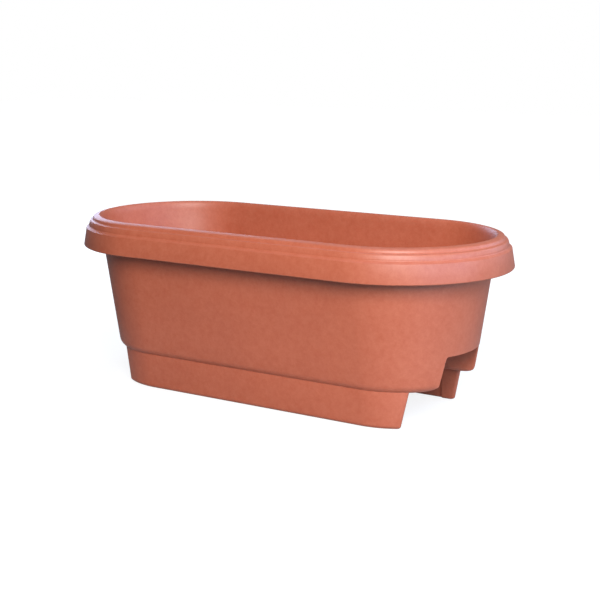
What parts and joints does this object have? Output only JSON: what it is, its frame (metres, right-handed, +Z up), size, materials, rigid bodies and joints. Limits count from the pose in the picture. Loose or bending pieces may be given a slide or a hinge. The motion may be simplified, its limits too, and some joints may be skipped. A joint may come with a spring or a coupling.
{
  "type": "deck rail planter",
  "caption": "Long moulded plastic planter that straddles a deck rail, with a stepped rim, two hollow legs either side of a stepped rail channel, and pull-out drain plugs.",
  "frame": {"origin": "centre of the bounding box, level with the underside of the legs", "axes": "+X along the pot and its rail channel, +Y to the back, +Z up out of the open top"},
  "size_m": [0.61, 0.29, 0.228],
  "materials": {
    "terracotta_plastic": "satin moulded polypropylene, terracotta through its thickness",
    "plug_rubber": "soft moulded rubber, brown"
  },
  "bodies": {
    "pot": {"planter_pot": "terracotta_plastic"},
    "drain_plug_front_1": {"drain_plug_front_1": "plug_rubber"},
    "drain_plug_front_2": {"drain_plug_front_2": "plug_rubber"},
    "drain_plug_front_3": {"drain_plug_front_3": "plug_rubber"},
    "drain_plug_front_4": {"drain_plug_front_4": "plug_rubber"},
    "drain_plug_back_1": {"drain_plug_back_1": "plug_rubber"},
    "drain_plug_back_2": {"drain_plug_back_2": "plug_rubber"},
    "drain_plug_back_3": {"drain_plug_back_3": "plug_rubber"},
    "drain_plug_back_4": {"drain_plug_back_4": "plug_rubber"}
  },
  "joints": [
    {"name": "drain_plug_front_1_pull", "type": "slide", "parent": "pot", "child": "drain_plug_front_1", "axis": [0, 0, 1], "range_m": [0, 0.03]},
    {"name": "drain_plug_front_2_pull", "type": "slide", "parent": "pot", "child": "drain_plug_front_2", "axis": [0, 0, 1], "range_m": [0, 0.03]},
    {"name": "drain_plug_front_3_pull", "type": "slide", "parent": "pot", "child": "drain_plug_front_3", "axis": [0, 0, 1], "range_m": [0, 0.03]},
    {"name": "drain_plug_front_4_pull", "type": "slide", "parent": "pot", "child": "drain_plug_front_4", "axis": [0, 0, 1], "range_m": [0, 0.03]},
    {"name": "drain_plug_back_1_pull", "type": "slide", "parent": "pot", "child": "drain_plug_back_1", "axis": [0, 0, 1], "range_m": [0, 0.03]},
    {"name": "drain_plug_back_2_pull", "type": "slide", "parent": "pot", "child": "drain_plug_back_2", "axis": [0, 0, 1], "range_m": [0, 0.03]},
    {"name": "drain_plug_back_3_pull", "type": "slide", "parent": "pot", "child": "drain_plug_back_3", "axis": [0, 0, 1], "range_m": [0, 0.03]},
    {"name": "drain_plug_back_4_pull", "type": "slide", "parent": "pot", "child": "drain_plug_back_4", "axis": [0, 0, 1], "range_m": [0, 0.03]}
  ]
}
